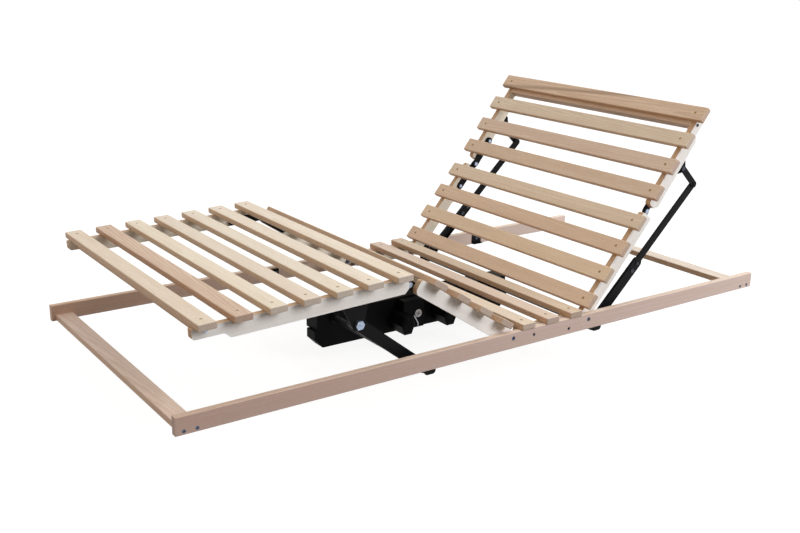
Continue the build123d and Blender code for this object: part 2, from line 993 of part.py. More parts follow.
link_head_y = link_outer_y + running
head_heads = strip_heads(head, strip_bolt_s, 0, joggle_inner_y)
link_nuts = hex_pieces(
    head,
    link_pivot_s,
    link_pivot_n,
    link_head_radius,
    section_inner_y,
    section_inner_y - link_head_height,
)
with BuildPart() as head_fasteners:
    slat_screws(head, head_rows, fold_axis_drop)
    board_screws(head, head_board_s)
    strip_shanks(head, strip_bolt_s, 0, joggle_inner_y)
    add(head_heads)
    for s in link_screws:
        with Locations(level_plane(head, s, link_flange_n)):
            with GridLocations(1, 2 * link_screw_y, 1, 2):
                Cylinder(
                    link_screw_radius,
                    link_plate_thickness + link_screw_depth,
                    align=upward,
                )
                Cylinder(link_screw_head_radius, link_screw_head_height, align=downward)
    for y_from, y_to, radius in (
        (section_inner_y, link_head_y, link_pin_radius),
        (link_head_y, link_head_y + link_head_height, link_head_radius),
    ):
        pins(head, link_pivot_s, link_pivot_n, y_from, y_to, radius)
    add(link_nuts)
finish(head_fasteners, "head_fasteners")

# Frame fasteners: corner and bracket screws, hip bolts with washer and nut, seat bolts
head_seat_y = frame_width / 2 - corner_head_sink
corner_face_y = frame_width / 2 - running
hip_seat_y = frame_width / 2 - hip_head_sink
hip_face_y = hip_seat_y + hip_head_height
hip_nut_y = section_inner_y - running
sockets = [
    hex_pieces(seat, x, corner_z - hip_z, socket_radius, corner_face_y - socket_depth, corner_face_y)
    for x in corner_xs
]
for x, z in [(x, hip_z) for x in hip_xs] + list(seat_bolts):
    sockets.append(hex_pieces(seat, x, z - hip_z, socket_radius, hip_face_y - socket_depth, hip_face_y))
hip_nuts = [
    hex_pieces(seat, x, 0, hip_nut_radius, hip_nut_y - hip_nut_height, hip_nut_y) for x in hip_xs
]
with BuildPart() as frame_fasteners:
    slat_screws(seat, seat_rows, hip_axis_drop)
    with Locations(*bracket_faces()):
        countersunk_screws(bracket_screw_depth)
    for x in corner_xs:
        pins(
            seat,
            x,
            corner_z - hip_z,
            rail_inner_y - corner_screw_depth + running,
            head_seat_y,
            corner_screw_radius,
        )
        pins(seat, x, corner_z - hip_z, head_seat_y, corner_face_y, corner_head_radius)
    for x in hip_xs:
        pins(seat, x, 0, hip_nut_y, hip_seat_y, hip_bolt_radius)
        pins(seat, x, 0, hip_seat_y, hip_face_y, hip_head_radius)
        pins(seat, x, 0, section_outer_y + running, rail_inner_y, hip_washer_radius)
    for nut in hip_nuts:
        add(nut)
    for x, z in seat_bolts:
        pins(seat, x, z - hip_z, section_inner_y, hip_seat_y, seat_bolt_radius)
        pins(seat, x, z - hip_z, hip_seat_y, hip_face_y, seat_head_radius)
        pins(seat, x, z - hip_z, section_outer_y, rail_inner_y, hip_washer_radius)
    for socket in sockets:
        add(socket, mode=Mode.SUBTRACT)
finish(frame_fasteners, "frame_fasteners")

# Plates that carry the shafts on the side rails, and ledges where the back rests when flat
shaft_plates = []
for x in (leg_shaft_x, back_shaft_x):
    shaft_plates.append(
        plate_pair(
            seat,
            [
                (x - bracket_width / 2, hip_axis_drop - bracket_top_drop),
                (x + bracket_width / 2, hip_axis_drop - bracket_top_drop),
                (x + bracket_width / 2, shaft_z - bracket_foot - hip_z),
                (x - bracket_width / 2, shaft_z - bracket_foot - hip_z),
            ],
            [eased_corner, eased_corner, section_rail_corner, section_rail_corner],
            bracket_inner_y,
            rail_inner_y,
        )
    )
with BuildPart() as rail_brackets:
    for plate in shaft_plates:
        add(plate)
    for x in (leg_shaft_x, back_shaft_x):
        pins(
            seat,
            x,
            shaft_z - hip_z,
            bracket_inner_y,
            rail_inner_y,
            journal_radius + fit,
            Mode.SUBTRACT,
        )
    for hand in (-1, 1):
        upright_y = hand * (rail_inner_y - bracket_thickness / 2)
        ledge_y = hand * (section_mid_y + rail_inner_y) / 2
        with Locations((rest_bracket_x, upright_y, ledge_top)):
            Box(
                rest_bracket_width,
                bracket_thickness,
                rest_bracket_height,
                align=(Align.CENTER, Align.CENTER, Align.MIN),
            )
        with Locations((rest_bracket_x, ledge_y, ledge_top)):
            Box(
                rest_bracket_width,
                rail_inner_y - section_mid_y,
                rest_ledge_thickness,
                align=(Align.CENTER, Align.CENTER, Align.MAX),
            )
    with Locations(*bracket_faces()):
        CounterSinkHole(
            screw_radius + fit,
            screw_head_radius + fit,
            depth=bracket_thickness,
            counter_sink_angle=screw_head_angle,
        )
finish(rail_brackets, "rail_brackets")

# Leg lift: shaft with its lever, and one channel arm and V bracket on the near side
shaft_half = bracket_inner_y - shaft_end_gap


def lift_shaft(x, lever_turn):
    """Cross shaft with turned-down journals, and a forked lever and two collars at the drive."""
    lever = section_plane(x, shaft_z, lever_turn)
    with BuildPart() as shaft:
        with Locations(Location((x, 0, shaft_z), (90, 0, 0))):
            Cylinder(shaft_radius, 2 * shaft_half)
            Cylinder(journal_radius, 2 * (shaft_half + journal_length))
        for y in (
            drive_near - running - shaft_collar_length / 2,
            housing_far + running + shaft_collar_length / 2,
        ):
            with Locations(Location((x, y, shaft_z), (90, 0, 0))):
                Cylinder(shaft_collar_radius, shaft_collar_length)
        for y in (drive_y - lever_half_spread, drive_y + lever_half_spread):
            with BuildSketch(side_plane(lever, y)):
                Circle(lever_hub_radius)
                with Locations((0, -lever_length / 2)):
                    SlotOverall(lever_length + 2 * lever_nose_radius, 2 * lever_nose_radius, 90)
            extrude(amount=lever_thickness / 2, both=True)
    return shaft.part


leg_shaft = lift_shaft(leg_shaft_x, -leg_lever_angle)
with BuildPart() as leg_lift_shaft:
    add(leg_shaft)
finish(leg_lift_shaft, "leg_lift_shaft")

leg_channel = channel_pair(leg_arm, leg_arm_run, leg_arm_radius, leg_arm_y, leg_arm_depth)
with BuildPart() as leg_lift_arm:
    add(leg_channel)
    split(bisect_by=Plane.XZ, keep=Keep.TOP)
    pins(leg_arm, 0, 0, leg_web_y, leg_arm_y, shaft_radius + fit, Mode.SUBTRACT, (-1,))
finish(leg_lift_arm, "leg_lift_arm")

leg_bracket_top = fold_bottom + leg_bracket_lap
leg_bracket_blank = plate_pair(
    leg,
    [
        (leg_pivot_s - leg_bracket_foot_side, leg_bracket_top),
        (leg_pivot_s + leg_bracket_knee_side, leg_bracket_top),
        (leg_pivot_s + leg_bracket_knee_side, fold_bottom),
        (leg_pivot_s + leg_bracket_radius, leg_pivot_n - leg_bracket_radius),
        (leg_pivot_s - leg_bracket_radius, leg_pivot_n - leg_bracket_radius),
        (leg_pivot_s - leg_bracket_foot_side, fold_bottom),
    ],
    [eased_corner, eased_corner] + 4 * [section_rail_corner],
    strip_inner_y,
    section_inner_y,
)
with BuildPart() as leg_lift_bracket:
    add(leg_bracket_blank)
    split(bisect_by=Plane.XZ, keep=Keep.TOP)
    pins(
        leg,
        leg_pivot_s,
        leg_pivot_n,
        strip_inner_y,
        section_inner_y,
        leg_pivot_bolt_radius + fit,
        Mode.SUBTRACT,
        (-1,),
    )
    for s in leg_bracket_bolts:
        pins(
            leg,
            s,
            leg_bracket_bolt_n,
            strip_inner_y,
            section_inner_y,
            strip_bolt_radius + fit,
            Mode.SUBTRACT,
            (-1,),
        )
finish(leg_lift_bracket, "leg_lift_bracket")

# Back lift: shaft with its lever, channel arms, extension bars and their bolts
back_shaft = lift_shaft(back_shaft_x, back_lever_angle)
with BuildPart() as back_lift_shaft:
    add(back_shaft)
finish(back_lift_shaft, "back_lift_shaft")

back_channel = channel_pair(
    back_arm,
    back_channel_length - back_arm_radius,
    back_arm_radius,
    back_arm_y,
    back_arm_depth,
)
with BuildPart() as back_arms:
    add(back_channel)
    pins(back_arm, 0, 0, back_web_y, back_arm_y, shaft_radius + fit, Mode.SUBTRACT)
    for s in (arm_bolt_at, arm_rivet_at):
        pins(back_arm, s, 0, back_web_y, back_arm_y, arm_bolt_radius + fit, Mode.SUBTRACT)
    pins(
        back_arm,
        back_channel_length - back_arm_radius,
        0,
        back_web_y - back_arm_depth,
        back_web_y,
        extension_radius + running,
        Mode.SUBTRACT,
    )
    for hand in (-1, 1):
        mouth = back_arm.from_local_coords((back_channel_length - back_arm_radius / 2, 0, 0))
        with Locations(
            Location(
                (mouth.X, hand * (back_web_y - back_arm_depth / 2), mouth.Z),
                (0, -back_arm_angle, 0),
            )
        ):
            Box(2 * back_arm_radius, back_arm_depth, 2 * (extension_radius + running), mode=Mode.SUBTRACT)
finish(back_arms, "back_arms")

extension_inner_y = back_web_y - extension_thickness
extension_blank = bar_pair(
    back_arm,
    extension_start,
    back_arm_length,
    0,
    extension_radius,
    extension_inner_y,
    back_web_y,
)
with BuildPart() as arm_extensions:
    add(extension_blank)
    for s in (arm_bolt_at, arm_rivet_at):
        pins(back_arm, s, 0, extension_inner_y, back_web_y, arm_bolt_radius + fit, Mode.SUBTRACT)
finish(arm_extensions, "arm_extensions")

with BuildPart() as arm_bolts:
    for s, head_radius in (
        (arm_bolt_at, arm_bolt_head_radius),
        (arm_rivet_at, arm_rivet_head_radius),
    ):
        pins(back_arm, s, 0, extension_inner_y, back_arm_y, arm_bolt_radius)
        pins(back_arm, s, 0, back_arm_y, back_arm_y + arm_bolt_head_height, head_radius)
        pins(
            back_arm,
            s,
            0,
            extension_inner_y - arm_bolt_head_height,
            extension_inner_y,
            head_radius,
        )
finish(arm_bolts, "arm_bolts")

# Links that hang from the plates on the head rails down to the arm ends
link_blank = bar_pair(link, 0, link_run, 0, link_radius, link_inner_y, link_outer_y)
with BuildPart() as head_links:
    add(link_blank)
    pins(link, 0, 0, link_inner_y, link_outer_y, link_pin_radius + fit, Mode.SUBTRACT)
    pins(link, link_run, 0, link_outer_y, link_outer_y + link_boss_height, link_boss_radius)
finish(head_links, "head_links")

# Twin drive: a hollow case in two halves that hangs on both shafts
ground = section_plane(0, 0, 0)


def side_prism(outline, y_from, y_to, shrink=0):
    """Solid of one side outline between two places across the bed."""
    with BuildPart() as prism:
        with BuildSketch(side_plane(ground, (y_from + y_to) / 2)):
            Polygon(*outline, align=None)
            if shrink:
                offset(amount=-shrink, kind=Kind.INTERSECTION)
        extrude(amount=abs(y_to - y_from) / 2, both=True)
    return prism.part


def motor_outline(x, z):
    """Corner points of a six-sided gearmotor, seen from the side."""
    return [
        (x - motor_half_length, z),
        (x - motor_half_flat, z + motor_half_height),
        (x + motor_half_flat, z + motor_half_height),
        (x + motor_half_length, z),
        (x + motor_half_flat, z - motor_half_height),
        (x - motor_half_flat, z - motor_half_height),
    ]


housing_body = side_prism(
    [
        (drive_left, drive_seam),
        (drive_left, drive_top),
        (drive_right, drive_top),
        (drive_right, drive_seam),
    ],
    drive_near,
    housing_far,
)
cover_left = drive_left - cover_step
cover_right = drive_right + cover_step
cover_body = side_prism(
    [
        (cover_left, drive_seam),
        (cover_right, drive_seam),
        (cover_right, drive_bottom + cover_bevel),
        (cover_right - cover_bevel, drive_bottom),
        (cover_left + cover_bevel, drive_bottom),
        (cover_left, drive_bottom + cover_bevel),
    ],
    drive_near,
    cover_far,
)
inner_left = drive_left + drive_wall
inner_right = drive_right - drive_wall
inner_top = drive_top - drive_wall
inner_floor = drive_bottom + drive_wall
inner_bevel = cover_bevel - cover_step
main_hollow = side_prism(
    [
        (inner_left, inner_top),
        (inner_right, inner_top),
        (inner_right, inner_floor + inner_bevel),
        (inner_right - inner_bevel, inner_floor),
        (inner_left + inner_bevel, inner_floor),
        (inner_left, inner_floor + inner_bevel),
    ],
    drive_near + drive_wall,
    cover_far - drive_wall,
)
ledge_hollow = side_prism(
    [
        (inner_left, inner_top),
        (inner_right, inner_top),
        (inner_right, drive_seam + drive_wall),
        (inner_left, drive_seam + drive_wall),
    ],
    cover_far - drive_wall,
    housing_far - drive_wall,
)
motor_near = drive_near - motor_reach
socket_box_near = drive_near - socket_box_reach
socket_box_outline = [
    (socket_box_x - socket_box_length / 2, socket_box_z - socket_box_height / 2),
    (socket_box_x + socket_box_length / 2, socket_box_z - socket_box_height / 2),
    (socket_box_x + socket_box_length / 2, socket_box_z + socket_box_height / 2),
    (socket_box_x - socket_box_length / 2, socket_box_z + socket_box_height / 2),
]
motor_outlines = [motor_outline(x, motor_z) for x in (leg_motor_x, back_motor_x)]
bulges = [side_prism(outline, motor_near, drive_near) for outline in motor_outlines]
hollows = [
    side_prism(outline, motor_near + drive_wall, drive_near + drive_wall, drive_wall)
    for outline in motor_outlines
]
bulges.append(side_prism(socket_box_outline, socket_box_near, drive_near))
hollows.append(
    side_prism(
        socket_box_outline,
        socket_box_near + drive_wall,
        drive_near + drive_wall,
        drive_wall,
    )
)
case_middle_y = (drive_near + housing_far) / 2
case_width = housing_far - drive_near


def drive_case(keep):
    """One half of the drive case, split at the seam."""
    with BuildPart() as case:
        add(housing_body)
        add(cover_body)
        for bulge in bulges:
            add(bulge)
        chamfer(case.faces().group_by(Axis.Y)[0].edges(), motor_edge)
        add(main_hollow, mode=Mode.SUBTRACT)
        add(ledge_hollow, mode=Mode.SUBTRACT)
        for hollow in hollows:
            add(hollow, mode=Mode.SUBTRACT)
        for x in (
            leg_shaft_x - spindle_end_past_shaft,
            back_shaft_x + spindle_end_past_shaft,
        ):
            with Locations((x, drive_y, bearing_rib_foot)):
                Box(
                    bearing_rib_thickness,
                    2 * (drive_half_width - drive_wall),
                    bearing_rib_top - bearing_rib_foot,
                    align=(Align.CENTER, Align.CENTER, Align.MIN),
                )
            with Locations(Location((x, drive_y, spindle_z), (0, 90, 0))):
                Cylinder(spindle_radius + fit, 2 * bearing_rib_thickness, mode=Mode.SUBTRACT)
        for x in (leg_shaft_x, back_shaft_x):
            with Locations(Location((x, case_middle_y, shaft_z), (90, 0, 0))):
                Cylinder(shaft_radius + fit, case_width, mode=Mode.SUBTRACT)
            with Locations((x, case_middle_y, shaft_z)):
                Box(
                    2 * (shaft_radius + fit),
                    case_width,
                    drive_top - shaft_z,
                    align=(Align.CENTER, Align.CENTER, Align.MIN),
                    mode=Mode.SUBTRACT,
                )
        with Locations((drive_middle, housing_far, (drive_seam + drive_top) / 2)):
            Box(inlet_width, inlet_depth, inlet_height, mode=Mode.SUBTRACT)
        split(bisect_by=Plane.XY.offset(drive_seam), keep=keep)
    return case.part


upper_case = drive_case(Keep.TOP)
with BuildPart() as drive_housing:
    add(upper_case)
finish(drive_housing, "drive_housing")

lower_case = drive_case(Keep.BOTTOM)
with BuildPart() as drive_cover:
    add(lower_case)
finish(drive_cover, "drive_cover")

# Caps that close the slots over the shafts
cheek_bottom = shaft_z + shaft_radius + running
with BuildPart() as shaft_caps:
    for x in (leg_shaft_x, back_shaft_x):
        with Locations((x, case_middle_y, drive_top)):
            Box(
                cap_length,
                case_width,
                cap_thickness,
                align=(Align.CENTER, Align.CENTER, Align.MIN),
            )
        for y in (drive_near + drive_wall / 2, housing_far - drive_wall / 2):
            with Locations((x, y, cheek_bottom)):
                Box(
                    2 * shaft_radius,
                    drive_wall,
                    drive_top - cheek_bottom,
                    align=(Align.CENTER, Align.CENTER, Align.MIN),
                )
finish(shaft_caps, "shaft_caps")

# Gearmotors on the floors of their bulges, each with a socket for its spindle
motor_cores = [
    side_prism(
        motor_outline(x, motor_z - running),
        motor_near + motor_edge,
        cover_far - drive_wall - running,
        drive_wall + running,
    )
    for x in (leg_motor_x, back_motor_x)
]
with BuildPart() as gearmotors:
    for core in motor_cores:
        add(core)
    for x, away in ((leg_motor_x, -1), (back_motor_x, 1)):
        with Locations(Location((x + away * motor_half_length, drive_y, spindle_z), (0, 90, 0))):
            Cylinder(spindle_radius + fit, 2 * spindle_socket, mode=Mode.SUBTRACT)
finish(gearmotors, "gearmotors")

# Spindles and the thrust blocks that run on them
for name, motor_x, shaft_x, away in (
    ("leg_spindle", leg_motor_x, leg_shaft_x, -1),
    ("back_spindle", back_motor_x, back_shaft_x, 1),
):
    motor_end = motor_x + away * motor_half_length
    start = motor_end - away * (spindle_socket - running)
    stop = shaft_x + away * (spindle_end_past_shaft + bearing_rib_thickness / 2)
    collar = motor_end + away * (running + spindle_collar_length / 2)
    with BuildPart() as spindle:
        with Locations(Location(((start + stop) / 2, drive_y, spindle_z), (0, 90, 0))):
            Cylinder(spindle_radius, abs(stop - start))
        with Locations(Location((collar, drive_y, spindle_z), (0, 90, 0))):
            Cylinder(spindle_collar_radius, spindle_collar_length)
    finish(spindle, name)

for name, shaft_x, away, lever_turn in (
    ("leg_thrust_block", leg_shaft_x, -1, leg_lever_angle),
    ("back_thrust_block", back_shaft_x, 1, back_lever_angle),
):
    touch = lever_nose_radius + block_pad_radius + block_lever_gap
    lever_reach = (shaft_z - spindle_z) * tan(radians(lever_turn))
    pad_x = shaft_x + away * (lever_reach - touch / cos(radians(lever_turn)))
    face_x = pad_x - away * block_pad_reach
    with BuildPart() as thrust_block:
        with Locations((face_x - away * block_length / 2, drive_y, spindle_z)):
            Box(block_length, 2 * block_half_width, 2 * block_half_height)
            Cylinder(spindle_radius + fit, block_length, rotation=(0, 90, 0), mode=Mode.SUBTRACT)
        chamfer(thrust_block.edges().filter_by(Axis.X).group_by(Axis.Y)[0], rail_edge)
        chamfer(thrust_block.edges().filter_by(Axis.X).group_by(Axis.Y)[-1], rail_edge)
        for y in (drive_y - lever_half_spread, drive_y + lever_half_spread):
            with Locations(((face_x + pad_x) / 2, y, spindle_z)):
                Box(block_pad_reach, lever_thickness, 2 * block_pad_radius)
            with Locations(Location((pad_x, y, spindle_z), (90, 0, 0))):
                Cylinder(block_pad_radius, lever_thickness)
    finish(thrust_block, name)

# Control board on four posts between the gearmotors
with BuildPart() as control_board:
    with Locations((drive_middle, drive_y, inner_floor + circuit_board_lift)):
        Box(
            circuit_board_length,
            circuit_board_width,
            circuit_board_thickness,
            align=(Align.CENTER, Align.CENTER, Align.MIN),
        )
    with Locations((drive_middle, drive_y, inner_floor)):
        with GridLocations(
            circuit_board_length - 2 * circuit_post_inset,
            circuit_board_width - 2 * circuit_post_inset,
            2,
            2,
        ):
            Cylinder(
                circuit_post_radius,
                circuit_board_lift,
                align=(Align.CENTER, Align.CENTER, Align.MIN),
            )
    with Locations(
        (drive_middle, drive_y, inner_floor + circuit_board_lift + circuit_board_thickness)
    ):
        Box(
            circuit_part_length,
            circuit_part_width,
            circuit_part_height,
            align=(Align.CENTER, Align.CENTER, Align.MIN),
        )
finish(control_board, "control_board")

print("leg arm", leg_arm_run, leg_arm_angle)
print("knee", knee.X, knee.Z, "neck", neck.X, neck.Z)
print("leg pivot", leg_pivot.X, leg_pivot.Z)
print("link top", link_top.X, link_top.Z, "foot", link_foot.X, link_foot.Z, "run", link_run)
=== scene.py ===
from math import pi, radians

import bmesh
import bpy
from mathutils import Matrix, Vector


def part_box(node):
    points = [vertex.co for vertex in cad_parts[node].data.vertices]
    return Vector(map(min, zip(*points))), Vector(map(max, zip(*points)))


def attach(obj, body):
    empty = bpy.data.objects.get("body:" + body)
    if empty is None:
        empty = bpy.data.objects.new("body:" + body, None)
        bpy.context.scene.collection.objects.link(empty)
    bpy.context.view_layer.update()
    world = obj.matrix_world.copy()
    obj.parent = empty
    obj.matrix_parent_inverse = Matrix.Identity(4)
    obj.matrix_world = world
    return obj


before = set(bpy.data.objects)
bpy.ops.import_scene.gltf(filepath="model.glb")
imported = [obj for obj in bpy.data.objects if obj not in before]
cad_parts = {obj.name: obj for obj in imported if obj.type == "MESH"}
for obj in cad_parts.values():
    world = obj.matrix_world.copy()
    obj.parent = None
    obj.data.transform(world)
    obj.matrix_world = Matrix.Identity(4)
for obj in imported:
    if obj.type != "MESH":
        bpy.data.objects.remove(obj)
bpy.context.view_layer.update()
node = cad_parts


# The side rails are long planed battens of solid beech, one on each side of the bed.
# They stand on edge, are eased along their edges, and carry everything else.
# The grain runs along the rail; the ends show it cut across.
def tone(red, green, blue):
    """Linear colour for the sRGB one that the eye sees."""
    parts = [c / 255 for c in (red, green, blue)]
    return tuple(c / 12.92 if c < 0.04 else ((c + 0.055) / 1.055) ** 2.4 for c in parts) + (1.0,)


def add(tree, kind, feeds=None, **settings):
    """Put in one shader node, set it, and feed its sockets with values or other outputs."""
    made = tree.nodes.new("ShaderNode" + kind)
    for name, value in settings.items():
        setattr(made, name, value)
    for socket, value in (feeds or {}).items():
        if isinstance(value, bpy.types.NodeSocket):
            tree.links.new(value, made.inputs[socket])
        else:
            made.inputs[socket].default_value = value
    return made


def blend(tree, share, first, second, way="MIX"):
    """Colour made of two others."""
    feeds = {0: share, 6: first, 7: second}
    return add(tree, "Mix", feeds, data_type="RGBA", blend_type=way).outputs[2]


def calc(tree, work, first, second=0.0):
    """One sum on two numbers."""
    return add(tree, "Math", {0: first, 1: second}, operation=work).outputs[0]


def spread(tree, value, low, high, bottom=0.0, top=1.0):
    """Stretch a range of values onto another, and cut off what lies outside."""
    feeds = {"Value": value, "From Min": low, "From Max": high, "To Min": bottom, "To Max": top}
    return add(tree, "MapRange", feeds).outputs[0]


def specks(tree, vector, scale, detail=2.0, rough=0.5):
    """Cloudy pattern at one scale."""
    feeds = {"Vector": vector, "Scale": scale, "Detail": detail, "Roughness": rough}
    return add(tree, "TexNoise", feeds).outputs["Fac"]


def mapped(tree, vector, turn=(0.0, 0.0, 0.0), stretch=(1.0, 1.0, 1.0), shift=(0.0, 0.0, 0.0)):
    """Coordinates turned, stretched and shifted."""
    feeds = {"Vector": vector, "Location": shift, "Rotation": turn, "Scale": stretch}
    return add(tree, "Mapping", feeds).outputs[0]


def axes(tree, vector):
    """The X, Y and Z of a vector."""
    return add(tree, "SeparateXYZ", {0: vector}).outputs


def new_finish(name):
    """Empty material, its node tree and its output node."""
    finish = bpy.data.materials.new(name)
    finish.use_nodes = True
    tree = finish.node_tree
    tree.nodes.clear()
    return finish, tree, add(tree, "OutputMaterial")


def coat(tree, output, colour, rough, relief, strength, depth, sockets):
    """Surface of a colour and a roughness, with a relief of some strength and depth."""
    bump = add(tree, "Bump", {"Strength": strength, "Distance": depth, "Height": relief})
    feeds = {"Base Color": colour, "Roughness": rough, "Normal": bump.outputs[0], **sockets}
    shader = add(tree, "BsdfPrincipled", feeds)
    tree.links.new(shader.outputs[0], output.inputs[0])


def middle(name):
    """Centre of a piece's box."""
    low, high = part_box(name)
    return (low + high) / 2


plain_figure = (0.30, 0.02)


def beech(name, centre, turn, tones, seed, heart, figure=plain_figure, painted_gradient=None, streak=None):
    """Planed beech: growth rings about a heart line, streaks, fine fibres and short ray flecks.

    The tones are the pale and the dark wood, the flank, which is the faces across the width, where
    the rings are cut another way and which is also darkened and browned as painted shade, and the
    sawn ends, where open pores drink the lacquer. The figure is how strong the rings show and how far
    the board tilts across them, which draws them out into arches. The wood may carry a painted
    gradient along its length, painted shade at one end and painted light at the other, and a streak
    of heartwood may cross it aslant.
    """
    pale, dark, flank, sawn = tones
    ring_share, tilt = figure
    finish, tree, output = new_finish(name)
    coord = add(tree, "TexCoord")
    local = add(tree, "VectorMath", {0: coord.outputs["Object"], 1: centre}, operation="SUBTRACT")
    lined = mapped(tree, local.outputs[0], turn)
    facing = axes(tree, mapped(tree, coord.outputs["Normal"], turn))
    end_cut = spread(tree, calc(tree, "ABSOLUTE", facing[1]), 0.6, 0.8)
    flank_shade_mask = spread(tree, calc(tree, "ABSOLUTE", facing[0]), 0.5, 0.9)
    lean = tilt + 0.006 * (seed % 3)
    drift = 0.016 - 0.009 * (seed % 4)
    ring_scale = 62.0 + 9.0 * (seed % 5)
    wander = mapped(
        tree,
        lined,
        turn=(lean, 0.0, drift),
        stretch=(1.0, 0.06, 1.0),
        shift=(heart[0], 0.37 * seed, heart[1]),
    )
    rings = add(
        tree,
        "TexWave",
        {
            "Vector": wander,
            "Scale": ring_scale,
            "Distortion": 5.0,
            "Detail": 3.0,
            "Detail Scale": 0.55,
            "Detail Roughness": 0.55,
        },
        wave_type="RINGS",
        rings_direction="Y",
        wave_profile="SAW",
    ).outputs["Fac"]
    streaks = specks(tree, wander, 190.0, 4.0, 0.62)
    broad = specks(tree, wander, 34.0, 2.0)
    long_fibre = mapped(tree, lined, stretch=(1.0, 0.03, 1.0), shift=(0.11 * seed, 0.0, 0.0))
    fibre = specks(tree, long_fibre, 1300.0, 2.0)
    short_fleck = mapped(tree, lined, stretch=(1.0, 0.16, 1.0))
    fleck = spread(tree, specks(tree, short_fleck, 760.0, 1.0), 0.64, 0.74)
    ring_line = spread(tree, rings, 0.35, 1.0)
    # The faces across the width take the flank tone, darker and browner: partly the rings cut another way,
    # partly painted shade.
    colour = blend(tree, calc(tree, "MULTIPLY", flank_shade_mask, 0.8), pale, flank)
    colour = blend(tree, calc(tree, "MULTIPLY", ring_line, ring_share), colour, dark)
    colour = blend(tree, spread(tree, streaks, 0.42, 0.74, 0.0, 0.30), colour, dark)
    colour = blend(tree, spread(tree, broad, 0.38, 0.75, 0.0, 0.26), colour, dark)
    fine = tuple(0.86 * c for c in dark[:3]) + (1.0,)
    colour = blend(tree, spread(tree, fibre, 0.45, 0.75, 0.0, 0.20), colour, fine)
    brown = tuple(0.52 * c for c in dark[:3]) + (1.0,)
    colour = blend(tree, calc(tree, "MULTIPLY", fleck, 0.34), colour, brown)
    pores = mapped(tree, lined, stretch=(1.0, 0.02, 0.45))
    open_pores = spread(tree, specks(tree, pores, 620.0, 2.0, 0.6), 0.46, 0.66, 0.0, 0.55)
    ends = blend(tree, open_pores, sawn, brown)
    ends = blend(tree, calc(tree, "MULTIPLY", ring_line, 0.35), ends, brown)
    colour = blend(tree, calc(tree, "MULTIPLY", end_cut, 0.92), colour, ends)
    place = axes(tree, lined)
    if streak:
        offset, slope, width, start = streak
        streak_fade = 0.25
        line = calc(tree, "ADD", calc(tree, "MULTIPLY", place[1], slope), offset)
        waver = calc(tree, "MULTIPLY", calc(tree, "SUBTRACT", broad, 0.5), width)
        aside = calc(tree, "SUBTRACT", calc(tree, "SUBTRACT", place[0], line), waver)
        band = spread(tree, calc(tree, "ABSOLUTE", aside), width, 0.2 * width, 0.0, 0.6)
        band = calc(tree, "MULTIPLY", band, spread(tree, place[1], start, start + streak_fade))
        colour = blend(tree, band, colour, brown)
    # Painted gradient along the length: painted shade at the foot end and painted light towards the head.
    if painted_gradient:
        length, first, last = painted_gradient
        painted_light_ramp = blend(tree, spread(tree, place[1], -length / 2, length / 2), first, last)
        colour = blend(tree, 1.0, colour, painted_light_ramp, "MULTIPLY")
    rough = spread(tree, streaks, 0.3, 0.7, 0.46, 0.60)
    relief = calc(tree, "ADD", calc(tree, "MULTIPLY", fibre, 0.6), calc(tree, "MULTIPLY", streaks, 0.4))
    coat(tree, output, colour, rough, relief, 0.22, 0.0005, {"Specular IOR Level": 0.35})
    return finish


def dress(name, finish):
    """Give a carried-over piece its finish."""
    piece = node[name]
    piece.data.materials.clear()
    piece.data.materials.append(finish)


rail_length = 1.98
rail_turn = (0.0, 0.0, radians(90))
rail_figure = (0.44, 0.30)
sawn_end = tone(206, 182, 166)
rail_tones = tone(222, 196, 168), tone(190, 158, 132), tone(196, 168, 155), sawn_end
# Each side rail carries a painted gradient: darker at the foot end as painted shade, paler and bluer
# towards the head as painted light.
for name, seed, heart, foot_painted_shade, head_painted_light in (
    ("side_rail_near", 1, (0.050, -0.035), (0.86, 0.86, 0.94, 1.0), (1.14, 1.28, 1.50, 1.0)),
    ("side_rail_far", 4, (-0.062, 0.028), (1.08, 1.04, 1.02, 1.0), (1.24, 1.42, 1.66, 1.0)),
):
    painted_gradient = (rail_length, foot_painted_shade, head_painted_light)
    dress(name, beech(name, middle(name), rail_turn, rail_tones, seed, heart, rail_figure, painted_gradient))


# The cross rails lie flat between the side rails at the foot and the head.
# They are beech of the same batch, butted on and held by two screws at each end.
cross_figure = (0.50, 0.34)
# The foot rail is given darker tones as painted shade and the head rail paler ones as painted light.
for name, seed, heart, pale, flank in (
    ("foot_cross_rail", 7, (0.021, 0.052), tone(226, 206, 191), tone(210, 180, 156)),
    ("head_cross_rail", 2, (-0.034, 0.060), tone(240, 232, 219), tone(222, 182, 146)),
):
    tones = pale, tone(194, 164, 142), flank, sawn_end
    dress(name, beech(name, middle(name), (0.0, 0.0, 0.0), tones, seed, heart, cross_figure))


# Pairs of birch plywood rails run under each section of slats, one at each side of the bed.
# The faces are pale sanded veneer; the faces that look inwards are made creamier and brighter as painted
# light.
# The cut edges show the thirteen plies and their glue lines.
sheet, ply_count = 0.018, 13


